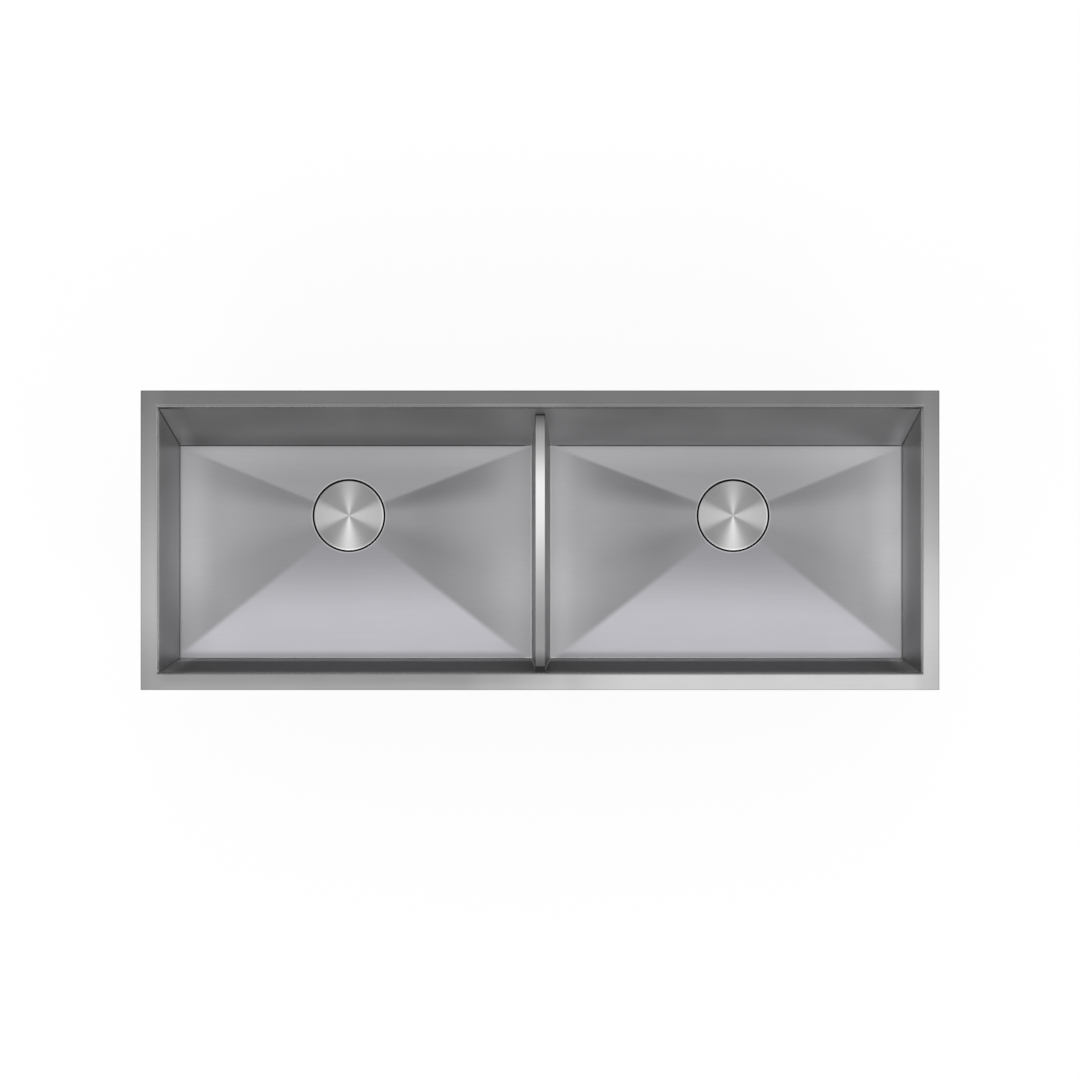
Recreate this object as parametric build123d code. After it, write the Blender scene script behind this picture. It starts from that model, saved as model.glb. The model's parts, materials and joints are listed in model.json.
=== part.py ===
from build123d import *
from math import cos, hypot, pi, radians, sin
import os

# A double bowl kitchen sink in folded stainless sheet, with its drains and its fixing clips.
# Millimetres. X runs along the sink, Y towards its back, Z up. The origin is the middle of
# the worktop cut-out, on the worktop's top face, where the seal under the flange lies.
# A depth is measured down from the flange's top face, a height up from the strainer's flange.

# Sheet, flange and seal
sheet = 1.5
opening_length = 1150
opening_width = 400
flange_land = 25
rim_bend_radius = 2.5
rim_skirt = 12
seal_thickness = 1.5
seal_width = 7
seal_inset = 1.5

# Bowls
bowl_depth = 230
floor_fall = 8
end_wall_lean = 4
side_wall_lean = 32

# Low divider between the bowls
divider_drop = 40
divider_top_width = 15
divider_foot_width = 28
divider_cap_leg = 8
divider_bend_radius = 2.5

# Sound-deadening pads
pad_thickness = 2.5
pad_margin = 22
floor_pad_drain_gap = 84
wall_pad_top = 125
wall_pad_height = 75
wall_pad_length = 400
end_pad_length = 250

# Drain pockets in the floors
drain_from_centre = 304
drain_behind_centre = 58
pocket_drop = 5
pocket_slot = 0.8
pocket_bend_radius = 1.5
outlet_hole_clearance = 1

# Strainer bodies
strainer_flange_radius = 57
strainer_flange_thickness = 1.5
strainer_edge_bevel = 0.7
cup_radius = 44
cup_wall = 1.7
cup_mouth_flare = 1.5
cup_depth = 46
cup_floor_fall = 2
seat_radius = 30
neck_radius = 23.8
neck_wall = 4.3
neck_length = 30

# Rings and nut that clamp a strainer to its bowl
flange_gasket_thickness = 1
flange_gasket_radius = 55.5
under_gasket_thickness = 3
friction_ring_thickness = 1
clamp_ring_radius = 55
ring_clearance = 0.3
locknut_radius = 50
locknut_height = 14
locknut_collar_height = 3
locknut_lugs = 6
lug_width = 9
thread_clearance = 0.15

# Tailpieces
tail_washer_thickness = 2
tailpiece_radius = 20
tailpiece_wall = 1.8
tailpiece_flange_radius = 23.5
tailpiece_flange_thickness = 2
tailpiece_shoulder_radius = 20.6
tailpiece_shoulder_below_lip = 1
tailpiece_length = 46
coupling_across_flats = 56
coupling_height = 17
coupling_lip = 3

# Baskets
basket_sheet = 0.6
basket_lip_radius = 48
basket_mouth_clearance = 0.8
basket_heel_bevel = 3
basket_depth = 37.5
basket_boss_radius = 5.5
basket_boss_height = 6
basket_slots = 16
slot_width = 3
slot_length = 16
basket_hole_radius = 2.5
basket_hole_rings = ((13, 6), (22, 12), (31, 16))

# Stoppers
stopper_radius = 28
stopper_bevel = 3
stopper_thickness = 5
stopper_travel = 9
seat_clearance = 0.3
spindle_radius = 3
spindle_clearance = 0.3
spindle_foot_radius = 6
spindle_foot_height = 2
knob_radius = 9
knob_height = 11
knob_waist_radius = 5.5
knob_below_cover = 2

# Drain covers
cover_radius = 55.1
cover_thickness = 1.2
cover_bevel = 0.5
cover_ring_radius = 57
cover_ring_bore = 50
cover_ring_height = 3
cover_ring_lip = 0.8
drain_channels = 12
channel_width = 7
channel_height = 1.6

# Fixing clips on the front and back walls: one near the divider, one near each end
clip_from_middle = 130
clip_from_end = 105
clip_axis_outside_wall = 12.5
bracket_sheet = 2.5
bracket_width = 24
bracket_shelf_depth = 84
bracket_leg = 26
bracket_beyond_screw = 6.5
bracket_corner_radius = 4
screw_radius = 3
screw_clearance = 0.3
screw_above_claw = 0.2
screw_end_radius = 4.5
screw_end_height = 1.5
screw_collar_radius = 4.8
screw_collar_height = 3
screw_head_across_flats = 10
screw_head_height = 4
screw_head_below_shelf = 26
claw_depth = 44
claw_sheet = 3
claw_width = 14
claw_reach = 34
claw_lip = 6
claw_bend_radius = 1.5

# Levels and outlines that follow from these
flange_top = seal_thickness + sheet
flange_length = opening_length + 2 * flange_land
flange_width = opening_width + 2 * flange_land
cap_foot = divider_drop + divider_cap_leg
floor_apex = flange_top - bowl_depth - floor_fall
pocket_seat = floor_apex - pocket_drop
pocket_radius = strainer_flange_radius + pocket_slot
outlet_hole_radius = cup_radius + outlet_hole_clearance
strainer_top = pocket_seat + flange_gasket_thickness + strainer_flange_thickness
cup_bore = cup_radius - cup_wall
neck_bore = neck_radius - neck_wall
pocket_underside = pocket_seat - sheet - strainer_top
seat_top = -cup_depth - cup_floor_fall
seat_foot = seat_top - (seat_radius - neck_bore)
neck_foot = seat_foot - neck_length
stopper_seated_foot = seat_top - (seat_radius - stopper_radius) - stopper_bevel
stopper_foot = stopper_seated_foot + seat_clearance + stopper_travel
knob_top = cover_ring_height - knob_below_cover
clip_places = (clip_from_middle, opening_length / 2 - clip_from_end)


def level(depth):
    """The Z of a depth below the flange's top face."""
    return flange_top - depth


def across(run, rise, thickness):
    """The level width of a sheet that leans by run over rise."""
    return thickness * hypot(run, rise) / rise


def half_length(depth, out=0):
    """Half the opening's length at a depth, moved out by a thickness."""
    lean = end_wall_lean * depth / bowl_depth
    return opening_length / 2 - lean + across(end_wall_lean, bowl_depth, out)


def half_width(depth, out=0):
    """Half the opening's width at a depth, moved out by a thickness."""
    lean = side_wall_lean * depth / bowl_depth
    return opening_width / 2 - lean + across(side_wall_lean, bowl_depth, out)


def half_divider(depth, out=0):
    """Half the divider's thickness at a depth, moved in from the bowl by a thickness."""
    run = (divider_foot_width - divider_top_width) / 2
    rise = bowl_depth - divider_drop
    spread = run * (depth - divider_drop) / rise
    return divider_top_width / 2 + spread - across(run, rise, out)


def corners(depth, x_low, out=0):
    """The four corners of the walls' rectangle at a depth, from x_low to the right end."""
    x_high = half_length(depth, out)
    y = half_width(depth, out)
    return [(x, side, level(depth)) for x in (x_low, x_high) for side in (-y, y)]


def opening_block(top, foot, out=0):
    """The whole opening between two depths, moved out by a thickness."""
    ring = [corners(depth, -half_length(depth, out), out) for depth in (top, foot)]
    return ConvexPolyhedron(ring[0] + ring[1])


def basin(top, x_low, out=0):
    """The right bowl's hollow from a depth down, or its skin where out is a thickness."""
    foot = bowl_depth + out
    apex = (drain_from_centre, drain_behind_centre, floor_apex - out)
    above = ConvexPolyhedron(corners(top, x_low, out) + corners(cap_foot, x_low, out))
    rim = corners(cap_foot, half_divider(cap_foot, out), out)
    floor = corners(foot, half_divider(foot, out), out)
    return above + ConvexPolyhedron(rim + floor + [apex])


def at_drain(shape, side):
    """A drain piece moved from the Z axis to its place, right where side is 1, left where -1."""
    return Pos(side * drain_from_centre, drain_behind_centre, strainer_top) * shape


def both_sides(shape):
    """A piece of the right half and its mirror image."""
    return [shape, mirror(shape, Plane.YZ)]


def turned(*profile):
    """A solid turned about the Z axis from a closed outline of (radius, height) points."""
    return revolve(Plane.XZ * make_face(Polyline(*profile, close=True)), Axis.Z)


def tube(outer, bore, low, high):
    """A ring about the Z axis between two heights."""
    return turned((bore, low), (outer, low), (outer, high), (bore, high))


def round_edges(shape, z, radius):
    """The circular edges of a shape at one height and radius."""
    rings = shape.edges().filter_by(GeomType.CIRCLE)
    return rings.filter_by(lambda edge: abs(edge.radius - radius) < 0.01 and abs(edge.center().Z - z) < 0.01)


def rim_frame():
    """The flat flange and its inner edge, bent down into a short skirt."""
    plate = Pos(0, 0, seal_thickness) * extrude(Rectangle(flange_length, flange_width), sheet)
    frame = plate + opening_block(0, rim_skirt, sheet) - opening_block(-sheet, rim_skirt + sheet)
    top = frame.faces().sort_by(Axis.Z)[-1]
    return fillet(top.inner_wires()[0].edges(), rim_bend_radius)


def rim_seal():
    """The foam strip between the flange and the worktop."""
    outer = Rectangle(flange_length - 2 * seal_inset, flange_width - 2 * seal_inset)
    inner = offset(outer, -seal_width, kind=Kind.INTERSECTION)
    return extrude(outer - inner, seal_thickness)


def right_bowl():
    """One folded bowl: leaning walls, a floor folded to its drain, and the drain's pocket."""
    drain = Pos(drain_from_centre, drain_behind_centre, 0)
    pocket_height = floor_fall + pocket_drop
    boss = drain * Pos(0, 0, pocket_seat - sheet) * extrude(Circle(pocket_radius + sheet), pocket_height)
    pocket = drain * Pos(0, 0, pocket_seat) * extrude(Circle(pocket_radius), pocket_height)
    outlet = drain * Pos(0, 0, pocket_seat - 2 * sheet) * extrude(Circle(outlet_hole_radius), pocket_height)
    bowl = basin(rim_skirt, 0, sheet) + boss - basin(0, -sheet) - pocket - outlet
    bowl = fillet(round_edges(bowl, pocket_seat, pocket_radius), pocket_bend_radius)
    return fillet(round_edges(bowl, pocket_seat - sheet, pocket_radius + sheet), pocket_bend_radius + sheet)


def divider_cap():
    """The folded channel that closes the divider's top, with its ends on the side walls."""

    def hood(out, radius):
        foot = half_divider(cap_foot, out)
        top = half_divider(divider_drop + out, out)
        outline = Polyline(
            (-foot, level(cap_foot)),
            (-top, level(divider_drop + out)),
            (top, level(divider_drop + out)),
            (foot, level(cap_foot)),
            close=True,
        )
        face = make_face(outline)
        return fillet(face.vertices().sort_by(Axis.Y)[-2:], radius)

    channel = hood(0, divider_bend_radius) - hood(sheet, divider_bend_radius - sheet)
    bar = extrude(Plane.XZ * channel, opening_width / 2, both=True)
    return bar & opening_block(divider_drop - sheet, cap_foot + sheet)


def skin_pads():
    """A layer of pad all over the right bowl's outside."""
    return basin(rim_skirt, 0, sheet + pad_thickness) - basin(rim_skirt, 0, sheet)


def patch(x_low, x_high, y_low, y_high, z_low, z_high):
    """A block between these limits, which cuts one pad out of a layer."""
    middle = ((x_low + x_high) / 2, (y_low + y_high) / 2, (z_low + z_high) / 2)
    return Pos(*middle) * Box(x_high - x_low, y_high - y_low, z_high - z_low)


def floor_pads():
    """The pads under the floors: beside, beyond and in front of each drain."""
    low = floor_apex - sheet - 2 * pad_thickness
    high = level(bowl_depth)
    y = half_width(bowl_depth) - pad_margin
    inner = half_divider(bowl_depth) + pad_margin
    outer = half_length(bowl_depth) - pad_margin
    near = drain_from_centre - floor_pad_drain_gap
    far = drain_from_centre + floor_pad_drain_gap
    front = drain_behind_centre - floor_pad_drain_gap
    limits = [(inner, near, -y, y), (far, outer, -y, y), (near + pad_margin, far - pad_margin, -y, front)]
    layer = skin_pads()
    pads = [layer & patch(*limit, low, high) for limit in limits]
    return Compound([piece.solid() for pad in pads for piece in both_sides(pad)])


def wall_pads():
    """The pads outside the front, back and end walls."""
    low = level(wall_pad_top + wall_pad_height)
    high = level(wall_pad_top)
    middle = (half_length(0) + half_divider(bowl_depth)) / 2
    ends = (middle - wall_pad_length / 2, middle + wall_pad_length / 2)
    inside = half_width(bowl_depth)
    outside = half_width(0) + pad_margin
    across_end = (half_length(bowl_depth), half_length(0) + pad_margin)
    limits = [
        (*ends, inside, outside),
        (*ends, -outside, -inside),
        (*across_end, -end_pad_length / 2, end_pad_length / 2),
    ]
    layer = skin_pads()
    pads = [layer & patch(*limit, low, high) for limit in limits]
    return Compound([piece.solid() for pad in pads for piece in both_sides(pad)])


def strainer_body():
    """The flanged cup, its stopper seat and its threaded neck, turned in one."""
    return turned(
        (strainer_flange_radius, -strainer_flange_thickness),
        (strainer_flange_radius, -strainer_edge_bevel),
        (strainer_flange_radius - strainer_edge_bevel, 0),
        (cup_bore + cup_mouth_flare, 0),
        (cup_bore, -cup_mouth_flare),
        (cup_bore, -cup_depth),
        (seat_radius, seat_top),
        (neck_bore, seat_foot),
        (neck_bore, neck_foot),
        (neck_radius, neck_foot),
        (neck_radius, seat_foot),
        (seat_radius, seat_top - cup_wall),
        (cup_radius, -cup_depth - cup_wall),
        (cup_radius, -strainer_flange_thickness),
    )


def flange_gasket():
    """The seal between the strainer's flange and the pocket's seat."""
    top = -strainer_flange_thickness
    return tube(flange_gasket_radius, outlet_hole_radius, top - flange_gasket_thickness, top)


def under_gasket():
    """The rubber ring under the pocket."""
    top = pocket_underside
    return tube(clamp_ring_radius, cup_radius + ring_clearance, top - under_gasket_thickness, top)


def friction_ring():
    """The slip ring that lets the locknut turn against the rubber."""
    top = pocket_underside - under_gasket_thickness
    return tube(clamp_ring_radius, cup_radius + ring_clearance, top - friction_ring_thickness, top)


def locknut():
    """The collared ring nut with wrench lugs that clamps the strainer."""
    top = pocket_underside - under_gasket_thickness - friction_ring_thickness
    foot = top - locknut_height
    bore = cup_radius + thread_clearance
    nut = tube(locknut_radius, bore, foot, top) + tube(
        clamp_ring_radius, bore, top - locknut_collar_height, top
    )
    lug = Pos((locknut_radius + clamp_ring_radius) / 2 - 1, 0, foot) * extrude(
        Rectangle(clamp_ring_radius - locknut_radius + 2, lug_width), locknut_height
    )
    for turn in range(locknut_lugs):
        nut += Rot(0, 0, turn * 360 / locknut_lugs) * lug
    return nut & tube(clamp_ring_radius, bore, foot, top)


def tail_washer():
    """The washer between the neck and the tailpiece."""
    return tube(tailpiece_flange_radius, neck_bore, neck_foot - tail_washer_thickness, neck_foot)


def tailpiece():
    """The flanged tube that the waste pipe slips over."""
    top = neck_foot - tail_washer_thickness
    bore = tailpiece_radius - tailpiece_wall
    under_flange = top - tailpiece_flange_thickness
    shoulder_foot = under_flange - coupling_lip - tailpiece_shoulder_below_lip
    return turned(
        (bore, top),
        (tailpiece_flange_radius, top),
        (tailpiece_flange_radius, under_flange),
        (tailpiece_shoulder_radius, under_flange),
        (tailpiece_shoulder_radius, shoulder_foot),
        (tailpiece_radius, shoulder_foot),
        (tailpiece_radius, under_flange - tailpiece_length),
        (bore, under_flange - tailpiece_length),
    )


def coupling_nut():
    """The hexagon nut that draws the tailpiece's flange to the neck."""
    under_flange = neck_foot - tail_washer_thickness - tailpiece_flange_thickness
    foot = under_flange - coupling_lip
    side = coupling_across_flats / 2
    corner = side / cos(radians(30))
    hexagon = Pos(0, 0, foot) * extrude(RegularPolygon(side, 6, major_radius=False), coupling_height)
    chamfer_drop = (corner - side) / 2
    bevels = turned(
        (0, foot),
        (side, foot),
        (corner, foot + chamfer_drop),
        (corner, foot + coupling_height - chamfer_drop),
        (side, foot + coupling_height),
        (0, foot + coupling_height),
    )
    thread = Pos(0, 0, under_flange) * extrude(Circle(neck_radius + thread_clearance), coupling_height)
    way_out = Pos(0, 0, foot) * extrude(Circle(tailpiece_shoulder_radius + ring_clearance), coupling_height)
    return (hexagon & bevels) - thread - way_out


def basket():
    """The lift-out basket: a drawn cup with a lip, slots in its side and holes in its bottom."""
    side = cup_bore - basket_mouth_clearance
    foot = -basket_depth
    inner_floor = foot + basket_sheet
    boss_bore = spindle_radius + spindle_clearance
    cup = turned(
        (boss_bore, foot),
        (side - basket_heel_bevel, foot),
        (side, foot + basket_heel_bevel),
        (side, 0),
        (basket_lip_radius, 0),
        (basket_lip_radius, basket_sheet),
        (side - basket_sheet, basket_sheet),
        (side - basket_sheet, foot + basket_heel_bevel),
        (side - basket_heel_bevel, inner_floor),
        (basket_boss_radius, inner_floor),
        (basket_boss_radius, inner_floor + basket_boss_height),
        (boss_bore, inner_floor + basket_boss_height),
    )
    upright = Plane.YZ.offset(side - slot_width) * Pos(0, -basket_depth / 2)
    slot = extrude(upright * SlotOverall(slot_length, slot_width, 90), 2 * slot_width)
    slots = [Rot(0, 0, turn * 360 / basket_slots) * slot for turn in range(basket_slots)]
    hole = Pos(0, 0, foot - basket_sheet) * extrude(Circle(basket_hole_radius), 3 * basket_sheet)
    holes = []
    for radius, count in basket_hole_rings:
        for turn in range(count):
            angle = 2 * pi * turn / count
            holes.append(Pos(radius * cos(angle), radius * sin(angle)) * hole)
    return cup - slots - holes


def stopper_disc():
    """The rubber plug, bevelled to the seat in the strainer's cup."""
    low = stopper_foot
    high = low + stopper_thickness
    return turned(
        (spindle_radius, low),
        (stopper_radius - stopper_bevel, low),
        (stopper_radius, low + stopper_bevel),
        (stopper_radius, high),
        (spindle_radius, high),
    )


def stopper_spindle():
    """The rod that carries the rubber plug on its foot and the knob on its head."""
    low = stopper_foot - spindle_foot_height
    high = knob_top - knob_height / 2
    return turned(
        (0, low),
        (spindle_foot_radius, low),
        (spindle_foot_radius, stopper_foot),
        (spindle_radius, stopper_foot),
        (spindle_radius, high),
        (0, high),
    )


def stopper_knob():
    """The waisted knob that a finger and thumb press or pull."""
    low = knob_top - knob_height
    socket = knob_top - knob_height / 2
    return turned(
        (spindle_radius, low),
        (knob_waist_radius, low),
        (knob_waist_radius, low + knob_height / 3),
        (knob_radius, socket),
        (knob_radius, knob_top - 1),
        (knob_radius - 1, knob_top),
        (0, knob_top),
        (0, socket),
        (spindle_radius, socket),
    )


def drain_cover():
    """The flat round lid with a bevelled edge."""
    low = cover_ring_height
    high = low + cover_thickness
    return turned(
        (0, low),
        (cover_radius, low),
        (cover_radius, high - cover_bevel),
        (cover_radius - cover_bevel, high),
        (0, high),
    )


def cover_ring():
    """The ring that holds the lid off the strainer, with channels under it for the water."""
    ring = turned(
        (cover_ring_bore, 0),
        (cover_ring_radius, 0),
        (cover_ring_radius, cover_ring_height + cover_ring_lip),
        (cover_radius, cover_ring_height + cover_ring_lip),
        (cover_radius, cover_ring_height),
        (cover_ring_bore, cover_ring_height),
    )
    middle = (cover_ring_bore + cover_ring_radius) / 2
    channel_length = 2 * (cover_ring_radius - cover_ring_bore)
    channel = Pos(middle, 0, channel_height / 2) * Box(channel_length, channel_width, channel_height)
    return ring - [Rot(0, 0, turn * 360 / drain_channels) * channel for turn in range(drain_channels)]


def clip_axis():
    """How far from the sink's middle line a clip's screw stands."""
    return half_width(claw_depth, sheet) + clip_axis_outside_wall


def clip_bracket():
    """A folded bracket: a leg on the bowl's leaning wall and a shelf that the screw passes."""
    low = bracket_shelf_depth + bracket_leg
    under = bracket_shelf_depth + bracket_sheet
    tip = clip_axis() + bracket_beyond_screw
    profile = make_face(
        Polyline(
            (half_width(bracket_shelf_depth, sheet), level(bracket_shelf_depth)),
            (tip, level(bracket_shelf_depth)),
            (tip, level(under)),
            (half_width(under, sheet + bracket_sheet), level(under)),
            (half_width(low, sheet + bracket_sheet), level(low)),
            (half_width(low, sheet), level(low)),
            close=True,
        )
    )
    bracket = extrude(Plane.YZ * profile, bracket_width / 2, both=True)
    tips = bracket.edges().filter_by(Axis.Z).filter_by(lambda edge: edge.center().Y > tip - 0.01)
    bracket = fillet(tips, bracket_corner_radius)
    hole = Pos(0, clip_axis(), level(under + sheet)) * extrude(
        Circle(screw_radius + screw_clearance), bracket_sheet + 2 * sheet
    )
    return bracket - hole


def clip_screw():
    """The clip's screw: hexagon head below, collar and riveted end either side of the claw."""
    claw_top = level(claw_depth)
    collar_top = claw_top - claw_sheet - screw_above_claw
    end_foot = claw_top + screw_above_claw
    head_top = level(bracket_shelf_depth + screw_head_below_shelf)
    shaft = turned(
        (0, head_top),
        (screw_radius, head_top),
        (screw_radius, collar_top - screw_collar_height),
        (screw_collar_radius, collar_top - screw_collar_height),
        (screw_collar_radius, collar_top),
        (screw_radius, collar_top),
        (screw_radius, end_foot),
        (screw_end_radius, end_foot),
        (screw_end_radius, end_foot + screw_end_height),
        (0, end_foot + screw_end_height),
    )
    hexagon = RegularPolygon(screw_head_across_flats / 2, 6, major_radius=False)
    head = Pos(0, 0, head_top - screw_head_height) * extrude(hexagon, screw_head_height)
    return Pos(0, clip_axis(), 0) * (shaft + head)


def clip_claw():
    """The claw that swings out under the worktop, stowed along the wall, its lip turned up."""
    top = level(claw_depth)
    half = claw_width / 2
    arm = Rectangle(claw_reach, claw_width, align=(Align.MIN, Align.CENTER)) + Circle(half)
    plate = Pos(0, 0, top - claw_sheet) * extrude(arm, claw_sheet)
    lip = Pos(claw_reach, 0, top - claw_sheet) * extrude(
        Rectangle(claw_sheet, claw_width, align=(Align.MAX, Align.CENTER)), claw_sheet + claw_lip
    )
    claw = plate + lip
    bend = claw.edges().filter_by(Axis.Y)
    heel = bend.filter_by(lambda edge: edge.center().X > claw_reach - 0.01).sort_by(Axis.Z)[0]
    claw = fillet(heel, claw_bend_radius)
    hole = Pos(0, 0, top - 2 * claw_sheet) * extrude(Circle(screw_radius + screw_clearance), 3 * claw_sheet)
    return Pos(0, clip_axis(), 0) * (claw - hole)


def at_clips(shape):
    """Copies of a clip piece at the eight clips: back right, back left, front right, front left."""
    back = [Pos(place, 0, 0) * shape for place in clip_places]
    back += [mirror(piece, Plane.YZ) for piece in back]
    return back + [mirror(piece, Plane.XZ) for piece in back]


def write(name, shape):
    """Writes one node."""
    export_step(shape, f"parts/{name}.step")


def main():
    os.makedirs("parts", exist_ok=True)
    write("rim_frame", rim_frame())
    write("rim_seal", rim_seal())
    bowl = right_bowl()
    write("right_bowl", bowl)
    write("left_bowl", mirror(bowl, Plane.YZ))
    write("divider_cap", divider_cap())
    write("floor_pads", floor_pads())
    write("wall_pads", wall_pads())

    drain_makers = [
        strainer_body,
        flange_gasket,
        under_gasket,
        friction_ring,
        locknut,
        tail_washer,
        tailpiece,
        coupling_nut,
        basket,
        stopper_disc,
        stopper_spindle,
        stopper_knob,
        drain_cover,
        cover_ring,
    ]
    for make in drain_makers:
        piece = make()
        write(f"left_{make.__name__}", at_drain(piece, -1))
        write(f"right_{make.__name__}", at_drain(piece, 1))

    write("clip_brackets", Compound([piece.solid() for piece in at_clips(clip_bracket())]))
    for number, piece in enumerate(at_clips(clip_screw()), start=1):
        write(f"clip_screw_{number}", piece)
    for number, piece in enumerate(at_clips(clip_claw()), start=1):
        write(f"clip_claw_{number}", piece)


main()
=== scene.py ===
"""Finishes and fine details of a double bowl kitchen sink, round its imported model.

Metres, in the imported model's frame: X runs along the sink, Y towards its back, Z up, and the
origin is the middle of the worktop cut-out on the worktop's top face. A tone is a brightness
as a screen shows it, from 0 for black to 1 for white.
"""

import json
import math

import bmesh
import bpy
from bpy.props import FloatProperty, FloatVectorProperty, PointerProperty
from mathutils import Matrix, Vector

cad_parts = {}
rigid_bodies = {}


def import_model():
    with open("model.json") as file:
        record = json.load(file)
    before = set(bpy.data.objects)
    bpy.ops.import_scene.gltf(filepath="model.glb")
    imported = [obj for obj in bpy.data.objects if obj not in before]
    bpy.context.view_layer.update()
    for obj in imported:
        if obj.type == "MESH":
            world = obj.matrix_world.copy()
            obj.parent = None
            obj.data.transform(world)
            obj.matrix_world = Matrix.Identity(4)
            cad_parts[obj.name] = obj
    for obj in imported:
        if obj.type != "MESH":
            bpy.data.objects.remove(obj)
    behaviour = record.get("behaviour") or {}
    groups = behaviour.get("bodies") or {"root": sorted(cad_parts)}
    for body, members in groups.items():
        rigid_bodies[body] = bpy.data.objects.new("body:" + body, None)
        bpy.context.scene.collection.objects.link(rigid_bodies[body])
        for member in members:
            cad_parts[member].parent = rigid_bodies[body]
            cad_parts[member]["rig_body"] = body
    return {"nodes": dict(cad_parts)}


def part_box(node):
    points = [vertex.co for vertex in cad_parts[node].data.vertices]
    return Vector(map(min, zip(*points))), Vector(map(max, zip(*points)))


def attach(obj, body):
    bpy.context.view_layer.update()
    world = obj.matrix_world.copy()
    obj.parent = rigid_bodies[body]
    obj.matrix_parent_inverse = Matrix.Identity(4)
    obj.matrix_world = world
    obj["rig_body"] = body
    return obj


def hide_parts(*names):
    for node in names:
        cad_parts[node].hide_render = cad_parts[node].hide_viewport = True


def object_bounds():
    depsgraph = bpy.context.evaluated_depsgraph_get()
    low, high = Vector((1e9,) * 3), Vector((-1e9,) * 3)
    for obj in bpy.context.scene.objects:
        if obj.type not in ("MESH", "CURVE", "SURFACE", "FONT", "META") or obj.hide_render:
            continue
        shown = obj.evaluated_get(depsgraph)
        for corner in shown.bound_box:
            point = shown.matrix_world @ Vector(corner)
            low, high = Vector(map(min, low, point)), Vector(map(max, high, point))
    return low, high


bl_info = {
    "name": "Double Bowl Sink",
    "version": (1, 0, 0),
    "blender": (4, 5, 0),
    "location": "3D Viewport > Sidebar > Sink",
    "description": "Finishes and details for a folded steel sink",
    "category": "Object",
}

SIDES = ("left", "right")
CLIPS = range(1, 9)
SCREEN_GAMMA = 2.2

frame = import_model()
cad_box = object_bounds()


def centre_of(node):
    """The middle of a node's box."""
    low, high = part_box(node)
    return (low + high) / 2


# Places and sizes that the finishes follow, in metres from the middle of the cut-out

SHEET = 0.0015
FLANGE_END = 0.6
FLANGE_EDGE = 0.225
OPENING_END = 0.575
OPENING_EDGE = 0.2
BEND_LINE = 0.2034
BEND_REACH = 0.005
FLOOR_EDGE = 0.168
FLOOR_END = 0.571
FLOOR_FOOT = 0.014
FLOOR_TOP = -0.227
WALL_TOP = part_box("right_bowl")[1].z
DRAIN = centre_of("right_strainer_body")
POCKET_RADIUS = 0.0578
POCKET_TOP = -0.2355
POCKET_FACE_AREA = 1e-4
BOWL_MIDDLE_X = 0.29
BOWL_MIDDLE_Z = -0.1
COVER_RADIUS = (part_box("right_drain_cover")[1].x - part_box("right_drain_cover")[0].x) / 2
CLIP_NEAR = abs(centre_of("clip_screw_1").x)
CLIP_FAR = abs(centre_of("clip_screw_2").x)
BRACKETS_MIDDLE = (CLIP_NEAR + CLIP_FAR) / 2
WELD_ROW = -0.097

# A fold is sharp where its angle is over SHARP_FOLD, in radians. A face is level where its
# normal's Z is over LEVEL, and a wall faces an axis where that part of its normal is over ACROSS.

SHARP_FOLD = 1.2
LEVEL = 0.9
ACROSS = 0.7

# How much wider the floors' back and front facets are towards the ends of the sink

REAR_SPREAD = 0.018
FRONT_SPREAD = 0.055


# Shader graphs


class Term:
    """A value in a shader graph. Python arithmetic on it adds Math nodes."""

    def __init__(self, graph, socket):
        self.graph = graph
        self.socket = socket

    def math(self, operation, *others):
        return self.graph.add("ShaderNodeMath", {"operation": operation}, [self, *others])

    def __add__(self, other):
        return self.math("ADD", other)

    def __sub__(self, other):
        return self.math("SUBTRACT", other)

    def __rsub__(self, other):
        return self.graph.add("ShaderNodeMath", {"operation": "SUBTRACT"}, [other, self])

    def __mul__(self, other):
        return self.math("MULTIPLY", other)

    def __truediv__(self, other):
        return self.math("DIVIDE", other)

    def __pow__(self, other):
        return self.math("POWER", other)

    def __neg__(self):
        return self.math("MULTIPLY", -1)

    def __abs__(self):
        return self.math("ABSOLUTE")

    __radd__ = __add__
    __rmul__ = __mul__

    def most(self, *others):
        """The largest of this and the others."""
        top = self
        for other in others:
            top = top.math("MAXIMUM", other)
        return top

    def ramp(self, start, end, kind="SMOOTHSTEP"):
        """0 at start and 1 at end, smooth between them and level beyond."""
        values = [self, start, end, 0, 1]
        if start > end:
            values = [self, end, start, 1, 0]
        return self.graph.add("ShaderNodeMapRange", {"interpolation_type": kind}, values)


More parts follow.
